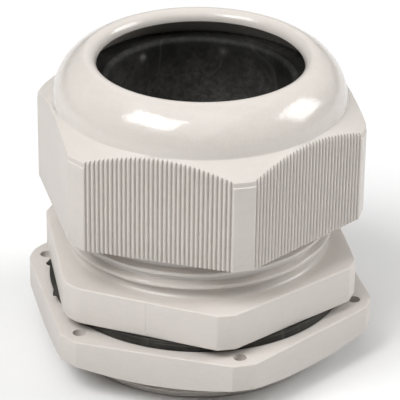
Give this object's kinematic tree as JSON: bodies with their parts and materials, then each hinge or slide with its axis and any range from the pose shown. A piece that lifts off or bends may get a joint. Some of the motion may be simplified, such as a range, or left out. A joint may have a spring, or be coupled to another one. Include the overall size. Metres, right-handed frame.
{
  "type": "cable gland",
  "caption": "Domed plastic cable gland with a hexagon body, clamping cage, rubber seal, flat gasket and hexagon locknut on a threaded stem.",
  "frame": {"origin": "on the gland's axis, in the plane of the lower end of the connection thread that it stands on", "axes": "+Z along the cable, towards the domed nut; -Y through one corner of the body's hexagon; +X and -X through two of its flats"},
  "size_m": [0.0728, 0.0782, 0.0684],
  "materials": {
    "polyamide_light_grey": "smooth light grey polyamide, glossy on the dome",
    "polyamide_grey": "satin grey polyamide",
    "rubber_black": "moulded chloroprene rubber"
  },
  "bodies": {
    "gland_body": {"gland_body": "polyamide_light_grey"},
    "clamping_insert": {"clamping_cage": "polyamide_grey", "sealing_bush": "rubber_black"},
    "dome_nut": {"dome_nut": "polyamide_light_grey"},
    "flat_gasket": {"flat_gasket": "rubber_black"},
    "locknut": {"locknut": "polyamide_light_grey"}
  },
  "joints": [
    {"name": "clamp_travel", "type": "slide", "parent": "gland_body", "child": "clamping_insert", "axis": [0, 0, 1], "range_m": [-0.0094, 0.0076]},
    {"name": "dome_nut_turn", "type": "hinge", "parent": "clamping_insert", "child": "dome_nut", "pos_m": [0, 0, 0.035], "axis": [0, 0, 1], "range_deg": [-1110, 900]},
    {"name": "gasket_travel", "type": "slide", "parent": "gland_body", "child": "flat_gasket", "axis": [0, 0, 1], "range_m": [-0.00585, 0]},
    {"name": "locknut_turn", "type": "hinge", "parent": "flat_gasket", "child": "locknut", "pos_m": [0, 0, 0.006], "axis": [0, 0, 1], "range_deg": [-1320, 0]}
  ],
  "couplings": [
    {"joint": "clamp_travel", "follows": "dome_nut_turn", "m_per_rad": 0.00047746},
    {"joint": "gasket_travel", "follows": "locknut_turn", "m_per_rad": 0.00025266}
  ]
}
